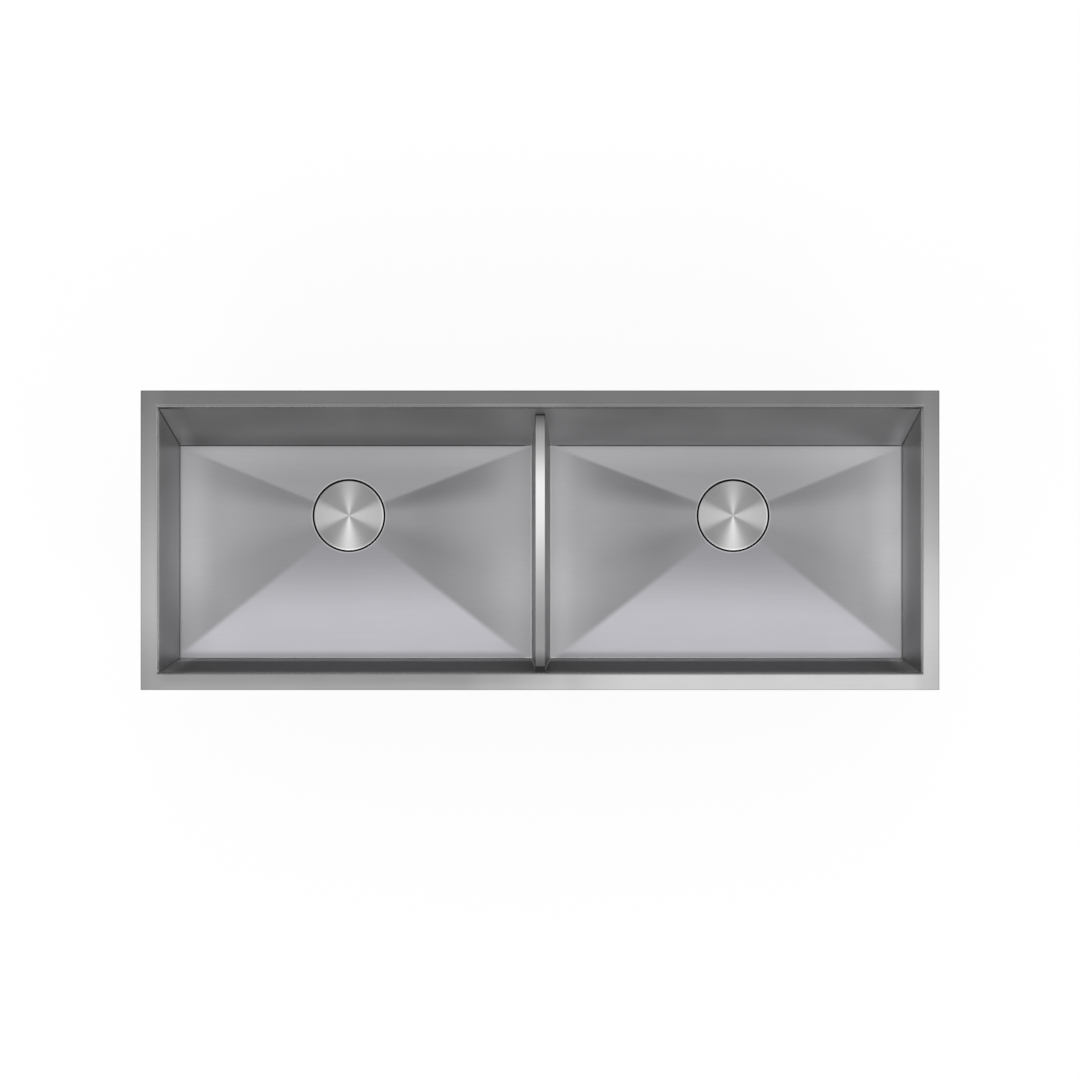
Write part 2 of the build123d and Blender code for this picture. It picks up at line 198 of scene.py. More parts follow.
class Graph:
    """The node tree of a material or a world."""

    def __init__(self, owner):
        owner.use_nodes = True
        self.owner = owner
        self.tree = owner.node_tree
        self.tree.nodes.clear()

    def add(self, kind, settings=None, inputs=None, output=0):
        """Adds a node, with its settings first and then its inputs, and gives one output."""
        node = self.tree.nodes.new(kind)
        for name, value in (settings or {}).items():
            setattr(node, name, value)
        pairs = inputs.items() if isinstance(inputs, dict) else enumerate(inputs or [])
        for name, value in pairs:
            if isinstance(value, Term):
                self.tree.links.new(value.socket, node.inputs[name])
            else:
                node.inputs[name].default_value = value
        return Term(self, node.outputs[output]) if node.outputs else node

    def axes(self, kind):
        """The X, Y and Z of the piece's Object coordinates or of its Normal."""
        vector = self.add("ShaderNodeTexCoord", output=kind)
        return [self.add("ShaderNodeSeparateXYZ", {}, [vector], axis) for axis in range(3)]

    def place(self):
        return self.axes("Object")

    def facing(self):
        return self.axes("Normal")

    def noise(self, scale, detail=2.0, roughness=0.5, spot=None):
        """Noise from about -0.5 to 0.5, with its own scale along each axis."""
        spot = spot or self.add("ShaderNodeTexCoord", output="Object")
        stretched = self.add("ShaderNodeVectorMath", {"operation": "MULTIPLY"}, [spot, scale])
        values = {"Vector": stretched, "Scale": 1.0, "Detail": detail, "Roughness": roughness}
        return self.add("ShaderNodeTexNoise", {}, values) - 0.5

    def along_sheet(self, turned=False):
        """A place whose X runs the way that the sheet is brushed.

        That is along the sink, but along Y on its end walls and on sheet that is turned.
        """
        x, y, z = self.place()
        end = abs(self.facing()[0]).ramp(0.6, 0.8)
        values = [x * (1 - end) + y * end, y * (1 - end) + x * end, z]
        return self.add("ShaderNodeCombineXYZ", {}, [y, x, z] if turned else values)

    def between(self, first, second, share):
        """A colour between two tints."""
        values = {0: share, 6: (*first, 1), 7: (*second, 1)}
        return self.add("ShaderNodeMix", {"data_type": "RGBA"}, values, output=2)

    def tinted(self, tint, tone):
        """A tint at a tone."""
        tint = tint if isinstance(tint, Term) else tuple(tint)
        values = {"Vector": tint, "Scale": tone**SCREEN_GAMMA}
        return self.add("ShaderNodeVectorMath", {"operation": "SCALE"}, values)

    def bump(self, height, distance):
        """A normal from a height, which is a share of a distance."""
        return self.add("ShaderNodeBump", {}, {"Height": height, "Distance": distance})

    def surface(self, values):
        """The surface shader with these values, joined to the material's output."""
        shader = self.add("ShaderNodeBsdfPrincipled", {}, values)
        self.add("ShaderNodeOutputMaterial", {}, {"Surface": shader})
        return self.owner


def material(name):
    """A new material's graph."""
    return Graph(bpy.data.materials.new(name))


# Finishes


def steel(
    name, tone, tint=(1, 1, 1), roughness=0.34, grain=(7, 700, 700), edge=1.0, turned=False
):
    """Brushed steel. tone is a number or a function of the graph, and so is tint or a colour.

    edge is how much of its gloss the sheet keeps when it is seen from a low angle.
    """
    graph = material(name)
    level = tone(graph) if callable(tone) else tone
    colour = tint(graph) if callable(tint) else tint
    sheet = graph.along_sheet(turned)
    brushing = graph.noise(grain, 3, 0.6, sheet)
    clouds = graph.noise((14, 14, 14))
    scratches = graph.noise((3, 1900, 1900), 2, 0.5, sheet).ramp(0.16, 0.22)
    level = level * (1 + brushing * 0.06 + clouds * 0.04 - scratches * 0.02)
    return graph.surface(
        {
            "Base Color": graph.tinted(colour, level),
            "Metallic": 1.0,
            "Roughness": roughness + brushing * 0.12 + clouds * 0.05 + scratches * 0.08,
            "Specular Tint": (edge, edge, edge, 1),
            "Normal": graph.bump(brushing, 0.00002),
        }
    )


def flange_tone(graph):
    """Painted light and shade: dark along the back, light along the front and lightest at the
    front right.
    """
    x, y = graph.place()[:2]
    right = x.ramp(-0.10, 0.15)
    in_front = y.ramp(0.1, -0.1)
    strip = 0.46 + in_front * (0.12 + right * 0.211)
    strip = strip + in_front * (1 - right) * abs(y).ramp(0.206, 0.223) * 0.05
    end = 0.485 + right * 0.02 + y.ramp(0.2165, -0.03, "LINEAR") * 0.205
    end = end + right * y.ramp(0.0, -0.12, "LINEAR") * 0.07
    end = end - y.ramp(-0.10, -0.216) * (0.086 - right * 0.05) - abs(x).ramp(0.582, 0.597) * 0.015
    ends = abs(x).ramp(OPENING_END - 0.02, OPENING_END + BEND_REACH)
    # A painted shade line just inside the flange's outer edge.
    end_outline = abs(x).ramp(FLANGE_END - 0.0018, FLANGE_END - 0.0007)
    outline = end_outline.most(abs(y).ramp(FLANGE_EDGE - 0.0018, FLANGE_EDGE - 0.0007))
    return (strip * (1 - ends) + end * ends + bend_lines(graph)) * (1 - outline * 0.16)


def bend_lines(graph):
    """The flange along its bend: a painted highlight line at the back and beside the divider, and
    painted shade at the front.
    """
    x, y = graph.place()[:2]
    between_ends = abs(x).ramp(OPENING_END + 0.0035, OPENING_END + 0.0025)
    light = abs(y - BEND_LINE).ramp(0.0018, 0.0008) * between_ends
    by_divider = abs(x + 0.03).ramp(0.09, 0.05) * y.ramp(0.2075, 0.2035)
    over_opening = abs(x).ramp(OPENING_END + 0.0005, OPENING_END - 0.0005)
    dark = y.ramp(-0.2032, -0.2012) * y.ramp(0.0, -0.1) * over_opening
    return light * 0.05 + by_divider * 0.035 - dark * (0.13 + x.ramp(-0.12, 0.15) * 0.15)


def bend_tone(graph):
    """The bend round the opening: painted light at the ends, less at the right, and painted shade
    along the back and front.
    """
    x, y = graph.place()[:2]
    lit = flange_tone(graph) * 0.50 + 0.38 - x.ramp(0.56, 0.57) * 0.12
    back = y.ramp(OPENING_EDGE - 0.001, OPENING_EDGE)
    front = y.ramp(0.001 - OPENING_EDGE, -OPENING_EDGE)
    return lit * (1 - back * 0.2) * (1 - front) + front * 0.43


def skirt_tone(graph):
    """The turned-down edge under the bend: painted shade, darker towards its foot and most at the
    corners.
    """
    x, _, z = graph.place()
    corner = abs(x).ramp(0.53, 0.57)
    return 0.74 - z.ramp(-0.0015, -0.0045) * (0.06 + corner * 0.2)


def wall_tone(graph):
    """Painted light and shade on the bowls' walls: a tone by the way that each faces, darker low
    down on the back walls, with painted light in the corners.
    """
    x, y, z = graph.place()
    along, back = graph.facing()[:2]
    rear = (-back).ramp(0.5, 0.9)
    front = back.ramp(0.5, 0.9)
    end = abs(along).ramp(0.5, 0.9)
    right = x.ramp(-0.1, 0.1)
    low = z.ramp(-0.13, FLOOR_TOP)
    foot = z.ramp(-0.19, FLOOR_TOP)
    corner = abs(x).ramp(0.535, 0.568)
    by_divider = abs(x).ramp(0.12, 0.02)
    by_back = y.ramp(0.06, 0.18)
    middle = y.ramp(0.16, -0.02) * y.ramp(-0.17, -0.06)
    # Lighter patches at the tops of the corners.
    welds = abs(x).ramp(0.556, 0.574) * z.ramp(-0.03, -0.012)
    rear_tone = 0.76 + right * 0.035 + abs(x).ramp(0.28, 0.12) * (1 - low) * 0.04
    rear_tone = rear_tone - low * (0.13 - right * 0.07) + foot * 0.03
    rear_tone = rear_tone + by_divider * (0.04 + low * 0.06) + corner * 0.19
    front_tone = 0.56 + z.ramp(-0.165, -0.197) * 0.26 + z.ramp(-0.05, -0.015) * 0.10
    front_tone = front_tone + corner * 0.32
    end_tone = 0.72 + by_back * 0.08 + middle * (0.11 + foot * 0.05)
    end_tone = end_tone - (right * 0.09 - 0.015) * (1 - low)
    return rear * rear_tone + front * front_tone + end * end_tone + welds * 0.15


def floor_shares(graph):
    """What the floor's tones follow, at one point.

    The result holds the place from the drain (u, v and how far out), how near the point is
    to the floor's end on a side facet, which side of the drain and which bowl it is in, how
    near it is to the creases, and the shares of the back and front facets.
    """
    x, y = graph.place()[:2]
    u = abs(x) - DRAIN.x
    v = y - DRAIN.y
    side = (u / (FLOOR_END - DRAIN.x)).most(u / (FLOOR_FOOT - DRAIN.x))
    rear = v / (FLOOR_EDGE - DRAIN.y)
    front = v / (-FLOOR_EDGE - DRAIN.y)
    soft = 0.03
    outer = u.ramp(-0.02, 0.02)
    return {
        "u": u,
        "v": v,
        "out": (u * u + v * v) ** 0.5,
        "side": side,
        "inner": u.ramp(0.02, -0.02),
        "right": x.ramp(-0.01, 0.01),
        "rear_crease": (rear / side.most(0.01)).ramp(0.1, 0.75),
        "front_crease": (front / side.most(0.01)).ramp(0.1, 0.55),
        "rear": (rear * (1 + outer * REAR_SPREAD) - side).ramp(-soft, soft),
        "front": (front * (1 + outer * FRONT_SPREAD) - side).ramp(0.0, 2 * soft),
    }


def crease_shade(at):
    """How much painted shade along the creases darkens the facets beside the drain."""
    inner = at["inner"]
    creases = at["rear_crease"] * (0.073 + inner * 0.025)
    creases = creases + at["front_crease"] * (0.036 + inner * 0.023)
    return creases * (1 - inner * at["side"].ramp(0.4, 0.1) * 0.6)


def side_facet_tone(at):
    """Painted light and shade on the facets beside the drain: lighter towards the walls, darker
    along the creases.
    """
    inner = at["inner"]
    outer = 1 - inner
    near_wall = at["side"].ramp(0.68, 0.93)
    side = 0.605 - inner * 0.018 + at["side"].ramp(0.35, 1.0) * 0.105
    side = side - crease_shade(at) * (1 - near_wall * (0.4 + inner * 0.45))
    side = side * (1 + at["side"].ramp(0.76, 1.0) * outer * 0.2)
    side = side + outer * at["right"] * at["side"].ramp(0.45, 0.85) * 0.018
    side = side - inner * at["side"].ramp(0.25, 0.5) * 0.016
    side = side + inner * (at["v"].ramp(-0.02, -0.11) * 0.042 - at["v"].ramp(-0.12, -0.18) * 0.03)
    side = side + (at["u"] + DRAIN.x).ramp(0.062, 0.026) * at["right"] * 0.05
    by_end = at["v"].ramp(-0.02, -0.07) * 0.02 - at["v"].ramp(-0.09, -0.17) * 0.075
    return side + near_wall * outer * by_end


def rear_facet_tone(at):
    """Painted light and shade on the facet behind the drain: lighter towards its ends, darker at
    the wall's foot.
    """
    inner = at["inner"]
    outer = 1 - inner
    rear = 0.600 + at["right"] * 0.006 + at["v"].ramp(0.055, 0.115) * 0.085
    rear = rear + at["u"] ** 2 * (1.7 - inner * 0.9 + outer * at["right"] * 0.8)
    return rear - at["v"].ramp(0.1035, 0.1095) * 0.04


def front_facet_tone(at):
    """Painted light and shade on the facet in front of the drain: lighter forwards, darker at the
    wall's foot.
    """
    outer = 1 - at["inner"]
    front = 0.597 + at["v"].ramp(-0.045, -0.165) * 0.163 - at["v"].ramp(-0.2115, -0.2225) * 0.13
    return front + at["side"] ** 4 * outer * at["v"].ramp(-0.14, -0.19) * 0.13


def floor_tone(graph):
    """The floors: four facets round each drain, each with painted light and shade, and soft
    creases between them.
    """
    at = floor_shares(graph)
    floor = side_facet_tone(at) * (1 - at["rear"] - at["front"])
    floor = floor + rear_facet_tone(at) * at["rear"] + front_facet_tone(at) * at["front"]
    # A painted highlight ring just outside the drain pocket.
    return floor + at["out"].ramp(0.0600, 0.0585) * 0.15


def floor_tint(graph):
    """Faintly lavender, most of all on the front facets: a painted tint of reflected light."""
    at = floor_shares(graph)
    return graph.between((1, 1, 1.02), (0.99, 0.98, 1.05), 0.3 + at["front"] * 0.7)


def fold_tone(graph):
    """The folds: painted shade as dark lines, with painted light at the ends, corners and front
    and at the divider.
    """
    x = graph.place()[0]
    along, back, up = graph.facing()
    foot = abs(x).ramp(0.03, 0.02)
    end = abs(along).ramp(0.2, 0.5) * up.ramp(0.1, 0.4)
    corner = abs(along).ramp(0.1, 0.3) * up.ramp(0.25, 0.15)
    front = back.ramp(0.05, 0.3) * up.ramp(0.1, 0.3) * abs(along).ramp(0.3, 0.1)
    lit = end * 0.38 + corner * 0.22 + front * 0.36
    return 0.29 + foot * 0.48 + lit * (1 - foot)


def mill_tone(graph):
    """The outside of the sheet: streaks from rolling, and cloudy patches."""
    streaks = graph.noise((1.5, 60, 60), 3, 0.5, graph.along_sheet())
    patches = graph.noise((9, 9, 9), 3)
    return 0.58 + streaks * 0.14 + patches * 0.10


def divider_tone(graph):
    """The divider's ridge: a painted highlight band in the middle that fades to painted shade at
    the ends.
    """
    x, y = graph.place()[:2]
    top = graph.facing()[2].ramp(0.3, 0.8)
    band = y.ramp(0.175, 0.085) * y.ramp(-0.145, 0.08)
    ends = y.ramp(0.198, 0.165) * y.ramp(-0.19, -0.16)
    edges = abs(x).ramp(0.0052, 0.0062)
    weld = y.ramp(0.1915, 0.1928).most(y.ramp(-0.1872, -0.1885))
    light = (0.36 + ends * 0.235 + band * 0.335) * (1 + edges * 0.06) * (1 - weld * 0.45)
    return light * top + (1 - top) * 0.7


def cover_tone(graph, centre):
    """A drain cover brushed in circles: four painted highlight rays, the front one widest and
    lightest, a painted highlight on the rolled rim, and painted shade towards the edge.
    """
    x, y = graph.place()[:2]
    u = x - centre.x
    v = y - centre.y
    out = (u * u + v * v) ** 0.5
    over_zero = out.most(0.0005)
    aside = abs(u) / over_zero
    behind = v / over_zero
    rear_ray = behind.most(0) ** 16 * (0.21 - out.ramp(0.01, 0.05, "LINEAR") * 0.075)
    front_ray = (-behind).most(0) ** 11 * 0.285
    side_rays = aside.ramp(0.82, 0.99) * 0.165
    lit = (u / over_zero).most(-behind, 0.1).ramp(0, 1)
    rim = out.ramp(0.0522, 0.0536) * lit * 0.16
    turned = graph.add(
        "ShaderNodeTexNoise", {"noise_dimensions": "1D"}, {"W": out * 2600, "Scale": 1.0}
    )
    base = 0.622 - out.ramp(0.0, 0.0475, "LINEAR") * 0.068
    return base + rear_ray + front_ray + side_rays + rim + (turned - 0.5) * 0.05


def turned_steel(name, tone, centre, roughness=0.26):
    """Steel brushed in circles round a centre. tone is a function of the graph."""
    graph = material(name)
    x, y = graph.place()[:2]
    out = ((x - centre.x) ** 2 + (y - centre.y) ** 2) ** 0.5
    rings = graph.add(
        "ShaderNodeTexNoise",
        {"noise_dimensions": "1D"},
        {"W": out * 3100, "Scale": 1.0, "Detail": 3.0},
    )
    rings = rings - 0.5
    clouds = graph.noise((30, 30, 30))
    level = tone(graph) * (1 + rings * 0.05 + clouds * 0.02)
    return graph.surface(
        {
            "Base Color": graph.tinted((1, 1.005, 1), level),
            "Metallic": 1.0,
            "Roughness": roughness + rings * 0.1 + clouds * 0.04,
            "Normal": graph.bump(rings, 0.00002),
        }
    )


def rubber(name, tint, roughness=0.55, grain=1200, depth=0.00004, gloss=0.5):
    """Matt black rubber with a fine moulded skin."""
    graph = material(name)
    skin = graph.noise((grain,) * 3)
    patches = graph.noise((40, 40, 40))
    return graph.surface(
        {
            "Base Color": graph.tinted(tint, 1 + skin * 0.25 + patches * 0.2),
            "Specular IOR Level": gloss,
            "Roughness": roughness + skin * 0.15,
            "Normal": graph.bump(skin, depth),
        }
    )


def plastic(name, tint, roughness=0.42):
    """Moulded plastic with a faint texture and flow marks."""
    graph = material(name)
    skin = graph.noise((900,) * 3)
    flow = graph.noise((30, 30, 90))
    return graph.surface(
        {
            "Base Color": graph.tinted(tint, 1 + flow * 0.06 + skin * 0.03),
            "Roughness": roughness + skin * 0.1 + flow * 0.08,
            "Normal": graph.bump(skin, 0.00003),
        }
    )


def weld_spots(graph):
    """1 in the two spot welds on each clip bracket's leg and 0 elsewhere."""
    x, _, z = graph.place()
    from_bracket = abs(abs(abs(x) - BRACKETS_MIDDLE) - BRACKETS_MIDDLE + CLIP_NEAR)
    from_spot = abs(from_bracket - 0.006)
    from_row = z - WELD_ROW
    return ((from_spot**2 + from_row**2) ** 0.5).ramp(0.0031, 0.0024)


def zinc(name, tint, welded=False):
    """Zinc plating: dull crystals with a faint bloom, and scorched dents where it is welded."""
    graph = material(name)
    bloom = graph.noise((70, 70, 70), 4)
    crystals = graph.noise((800, 800, 800), 3)
    weld = weld_spots(graph) if welded else 0.0
    return graph.surface(
        {
            "Base Color": graph.tinted(tint, 1 + bloom * 0.16 + crystals * 0.08 - weld * 0.3),
            "Metallic": 1.0,
            "Roughness": 0.42 + bloom * 0.2 + crystals * 0.1 + weld * 0.15,
            "Normal": graph.bump(crystals * 0.05 - weld, 0.0006),
        }
    )


def pad_sheet(name, tint, pitch=0.008):
    """Sound-deadening rubber sheet, embossed with a lattice of small squares."""
    graph = material(name)
    x, y, z = graph.place()
    along, _, up = graph.facing()
    level = abs(up).ramp(0.4, 0.6)
    end = abs(along).ramp(0.6, 0.8)
    first = x * (1 - end) + y * end
    second = y * level + z * (1 - level)
    turn = 2 * math.pi / pitch
    lattice = (first * turn).math("SINE").most((second * turn).math("SINE"))
    skin = graph.noise((900,) * 3)
    return graph.surface(
        {
            "Base Color": graph.tinted(tint, 1 + skin * 0.3 + lattice * 0.12),
            "Roughness": 0.6 + skin * 0.15,
            "Normal": graph.bump(lattice * 0.8 + skin * 0.2, 0.0003),
        }
    )


def dress(node, finish):
    """Gives a node of the model a finish in place of its own."""
    slots = frame["nodes"][node].data.materials
    slots.clear()
    slots.append(finish)


# Modelling


def focus(piece):
    """Makes a piece the only one that is selected."""
    bpy.ops.object.select_all(action="DESELECT")
    piece.select_set(True)
    bpy.context.view_layer.objects.active = piece


def start_edit(piece, kind="EDGE"):
    """Opens a piece in edit mode, to select its points, edges or faces."""
    focus(piece)
    bpy.ops.object.mode_set(mode="EDIT")
    bpy.ops.mesh.select_mode(type=kind)


def end_edit():
    bpy.ops.object.mode_set(mode="OBJECT")


def select_folds(piece, test):
    """Selects the edges for which a test of their signed angle and their middle is true."""
    bpy.ops.mesh.select_all(action="DESELECT")
    shape = bmesh.from_edit_mesh(piece.data)
    folds = [edge for edge in shape.edges if len(edge.link_faces) == 2]
    for edge in folds:
        middle = (edge.verts[0].co + edge.verts[1].co) / 2
        if test(edge.calc_face_angle_signed(0.0), middle):
            edge.select_set(True)
    shape.select_flush_mode()
    bmesh.update_edit_mesh(piece.data)


def copy_of(node, name, finishes):
    """A copy of a node that stands for it, with its triangles joined into whole faces."""
    source = frame["nodes"][node]
    piece = bpy.data.objects.new(name, source.data.copy())
    bpy.context.scene.collection.objects.link(piece)
    piece.data.name = name
    piece.data.materials.clear()
    for finish in finishes:
        piece.data.materials.append(finish)
    start_edit(piece)
    bpy.ops.mesh.select_all(action="SELECT")
    bpy.ops.mesh.customdata_custom_splitnormals_clear()
    bpy.ops.mesh.remove_doubles(threshold=2e-6)
    bpy.ops.mesh.dissolve_limited(angle_limit=math.radians(0.3), delimit=set())
    end_edit()
    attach(piece, source["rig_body"])
    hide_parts(node)
    return piece


def soften(piece, width, segments=2, angle=30):
    """Rounds a piece's edges that are sharper than an angle."""
    focus(piece)
    bevel = piece.modifiers.new("soften", "BEVEL")
    bevel.width = width
    bevel.segments = segments
    bevel.limit_method = "ANGLE"
    bevel.angle_limit = math.radians(angle)
    bpy.ops.object.modifier_apply(modifier=bevel.name)


def softened(node, name, finish, width):
    """A copy of a node that stands for it, with rounded edges."""
    piece = copy_of(node, name, (finish,))
    soften(piece, width)
    shade(piece)
    return piece


def shade(piece, angle=35):
    """Smooth shading over rounded edges, with flat faces kept flat."""
    focus(piece)
    bpy.ops.object.shade_smooth_by_angle(angle=math.radians(angle))
    weighted = piece.modifiers.new("weighted", "WEIGHTED_NORMAL")
    weighted.keep_sharp = True
    bpy.ops.object.modifier_apply(modifier=weighted.name)


def lathed(name, axis, outline, sides):
    """A round piece about a vertical axis, from a closed outline of (radius, height) points."""
    radius, height = outline[0]
    bpy.ops.object.select_all(action="DESELECT")
    spot = Vector((axis.x, axis.y, height))
    bpy.ops.mesh.primitive_circle_add(vertices=sides, radius=radius, location=spot)
    piece = bpy.context.object
    piece.name = name
    piece.data.name = name
    bpy.ops.object.transform_apply(location=True)
    start_edit(piece)
    bpy.ops.mesh.select_all(action="SELECT")
    for next_radius, next_height in [*outline[1:], outline[0]]:
        rise = next_height - height
        bpy.ops.mesh.extrude_region_move(TRANSFORM_OT_translate={"value": (0, 0, rise)})
        share = next_radius / radius
        pivot = Vector((axis.x, axis.y, next_height))
        bpy.ops.transform.resize(value=(share, share, 1), center_override=pivot)
        radius, height = next_radius, next_height
    bpy.ops.mesh.select_all(action="SELECT")
    bpy.ops.mesh.remove_doubles(threshold=1e-6)
    bpy.ops.mesh.normals_make_consistent(inside=False)
    end_edit()
    return piece


def thread(name, axis, radius, low, high, pitch, depth, steps):
    """A screw thread's ridge: a small triangle wound up round a vertical axis."""
    bpy.ops.object.select_all(action="DESELECT")
    spot = Vector((axis.x, axis.y, low))
    turned = (math.pi / 2, math.pi / 2, 0)
    bpy.ops.mesh.primitive_circle_add(vertices=3, radius=depth, location=spot, rotation=turned)
    piece = bpy.context.object
    piece.name = name
    piece.data.name = name
    bpy.ops.object.transform_apply(location=False, rotation=True)
    start_edit(piece)
    bpy.ops.mesh.select_all(action="SELECT")
    bpy.ops.transform.resize(value=(1, 1, 0.45 * pitch / depth), center_override=spot)
    bpy.ops.transform.translate(value=(radius, 0, 0))
    end_edit()
    screw = piece.modifiers.new("turns", "SCREW")
    screw.angle = 2 * math.pi
    screw.screw_offset = pitch
    screw.iterations = int((high - low) / pitch)
    screw.steps = steps
    screw.render_steps = steps
    bpy.ops.object.modifier_apply(modifier=screw.name)
    start_edit(piece)
    bpy.ops.mesh.select_all(action="SELECT")
    bpy.ops.mesh.fill_holes(sides=3)
    bpy.ops.mesh.normals_make_consistent(inside=False)
    end_edit()
    bpy.ops.object.transform_apply(location=True)
    return piece


# Settings


class SheetSettings(bpy.types.PropertyGroup):
    """Sizes of the folded sheet."""

    fold_radius: FloatProperty(
        name="Fold radius",
        description="Inner radius of the bowls' folds",
        default=0.0018,
        min=0.0005,
        max=0.004,
        unit="LENGTH",
    )
    edge_softening: FloatProperty(
        name="Edge softening",
        description="Width of the broken edge round the flange",
        default=0.0004,
        min=0.0001,
        max=0.0007,
        unit="LENGTH",
    )


class FinishSettings(bpy.types.PropertyGroup):
    """Colours of the pieces that aren't bare steel."""

    rubber: FloatVectorProperty(
        name="Rubber",
        description="Colour of the gaskets, the stoppers and the rings round the covers",
        default=(0.006, 0.006, 0.006),
        min=0,
        max=1,
        subtype="COLOR",
    )
    pads: FloatVectorProperty(
        name="Pads",
        description="Colour of the sound-deadening pads",
        default=(0.035, 0.035, 0.038),
        min=0,
        max=1,
        subtype="COLOR",
    )
    nuts: FloatVectorProperty(
        name="Nuts",
        description="Colour of the plastic nuts",
        default=(0.72, 0.72, 0.70),
        min=0,
        max=1,
        subtype="COLOR",
    )
    plating: FloatVectorProperty(
        name="Plating",
        description="Colour of the clips' zinc plating",
        default=(0.44, 0.45, 0.47),
        min=0,
        max=1,
        subtype="COLOR",
    )


class StageSettings(bpy.types.PropertyGroup):
    """Camera and lamps."""

    camera_height: FloatProperty(
        name="Camera height",
        description="Height of the camera over the worktop",
        default=4.397,
        min=1,
        unit="LENGTH",
    )
    lens: FloatProperty(
        name="Lens",
        description="Focal length of the camera",
        default=97.5,
        min=20,
        unit="CAMERA",
    )
    lamp_power: FloatProperty(
        name="Lamp power",
        description="Power of each soft lamp",
        default=28,
        min=0,
        unit="POWER",
    )


# Operators


class SINK_OT_flange(bpy.types.Operator):
    """Finish the flange, its bend, its turned-down skirt and the seal under it"""

    bl_idname = "sink.flange"
    bl_label = "Flange"

    top, bend, skirt, hidden, end_skirt = range(5)

    def execute(self, context):
        finishes = (
            # The flange, bend and skirt tones carry painted light and shade.
            steel("flange steel", flange_tone),
            steel("bend steel", bend_tone, roughness=0.26),
            steel("skirt steel", skirt_tone, edge=0.5),
            steel("flange underside", 0.57, roughness=0.45, grain=(40, 40, 40)),
            # Near white: a painted highlight along the ends of the bend.
            steel("end skirt highlight steel", 0.97, roughness=0.5),
        )
        flange = copy_of("rim_frame", "flange", finishes)
        self.break_edges(flange, context.scene.sink_sheet.edge_softening)
        for face in flange.data.polygons:
            face.material_index = self.finish_of(face)
        shade(flange)
        foam = rubber("seal foam", (0.02, 0.02, 0.02), 0.8, 700, 0.0001)
        softened("rim_seal", "foam_seal", foam, 0.0005)
        return {"FINISHED"}

    def break_edges(self, flange, width):
        """Rounds the flange's outer edges."""
        far_x, far_y = cad_box[1].x - 0.0001, cad_box[1].y - 0.0001
        start_edit(flange)
        select_folds(
            flange,
            lambda angle, spot: angle > SHARP_FOLD
            and (abs(spot.x) > far_x or abs(spot.y) > far_y),
        )
        bpy.ops.mesh.bevel(offset=width, segments=2)
        end_edit()

    def finish_of(self, face):
        """Flange top, bend, skirt along the sink or at its ends, or hidden side."""
        x, y = face.center.xy
        towards_middle = -(face.normal.x * x + face.normal.y * y)
        outer = abs(x) > OPENING_END + BEND_REACH or abs(y) > OPENING_EDGE + BEND_REACH
        if face.normal.z > LEVEL or (outer and face.normal.z > -0.5):
            return self.top
        if outer or face.normal.z < -0.1 or towards_middle < 0:
            return self.hidden
        if face.normal.z > 0.15:
            return self.bend
        return self.end_skirt if abs(face.normal.x) > ACROSS else self.skirt


class SINK_OT_bowls(bpy.types.Operator):
    """Round the bowls' folds and finish their floors, walls and outsides"""

    bl_idname = "sink.bowls"
    bl_label = "Bowls"

    floor, wall, fold, outside, pocket, end_wall, front_wall = range(7)

    def execute(self, context):
        finishes = (
            # Floor, wall and fold tones carry painted light and shade. The three wall finishes
            # differ only in the gloss they keep at a low angle, a painted shade that is deepest
            # on the front walls.
            steel("floor steel", floor_tone, floor_tint),
            steel("wall steel", wall_tone, edge=0.3),
            steel("fold steel", fold_tone, roughness=0.4, edge=0.3),
            steel("mill steel", mill_tone, roughness=0.4, grain=(20, 300, 300)),
            steel("pocket steel", 0.78, roughness=0.22),
            steel("end wall steel", wall_tone, edge=0.42),
            steel("front wall steel", wall_tone, edge=0.16),
        )
        radius = context.scene.sink_sheet.fold_radius
        for side in SIDES:
            bowl = copy_of(f"{side}_bowl", f"{side}_bowl_sheet", finishes)
            drain = centre_of(f"{side}_strainer_body")
            for face in bowl.data.polygons:
                face.material_index = self.finish_of(face, drain)
            self.round_folds(bowl, drain, radius, -1, self.fold)
            self.round_folds(bowl, drain, radius + SHEET, 1, self.outside)
            shade(bowl)
        return {"FINISHED"}

    def round_folds(self, bowl, drain, radius, turn, finish):
        """Rounds the folds where the sheet turns in, at -1, or out, at 1."""
        start_edit(bowl)
        select_folds(
            bowl,
            lambda angle, spot: turn * angle > SHARP_FOLD
            and spot.z < WALL_TOP - 0.07
            and (spot.xy - drain.xy).length > 0.1,
        )
        bpy.ops.mesh.bevel(offset=radius, segments=3, material=finish)
        end_edit()

    def finish_of(self, face, drain):
        """Floor, wall, outside of the sheet or drain pocket."""
        z = face.center.z
        middle = Vector((math.copysign(BOWL_MIDDLE_X, drain.x), 0, BOWL_MIDDLE_Z))
        from_drain = face.center.xy - drain.xy
        near_drain = from_drain.length < POCKET_RADIUS + 0.002
        if near_drain and z < FLOOR_TOP and (z < POCKET_TOP or face.area < POCKET_FACE_AREA):
            hidden = face.normal.z < -0.5 or face.normal.xy.dot(from_drain) > 1e-4
            return self.outside if hidden else self.pocket
        if face.normal.z > LEVEL and z < -0.2:
            return self.floor
        if face.normal.dot(middle - face.center) < 0:
            return self.outside
        if abs(face.normal.x) > ACROSS:
            return self.end_wall
        return self.front_wall if face.normal.y > 0.5 else self.wall


class SINK_OT_divider(bpy.types.Operator):
    """Finish the divider's folded ridge"""

    bl_idname = "sink.divider"
    bl_label = "Divider"

    def execute(self, context):
        finish = steel("divider steel", divider_tone, roughness=0.26, turned=True)
        dress("divider_cap", finish)
        return {"FINISHED"}


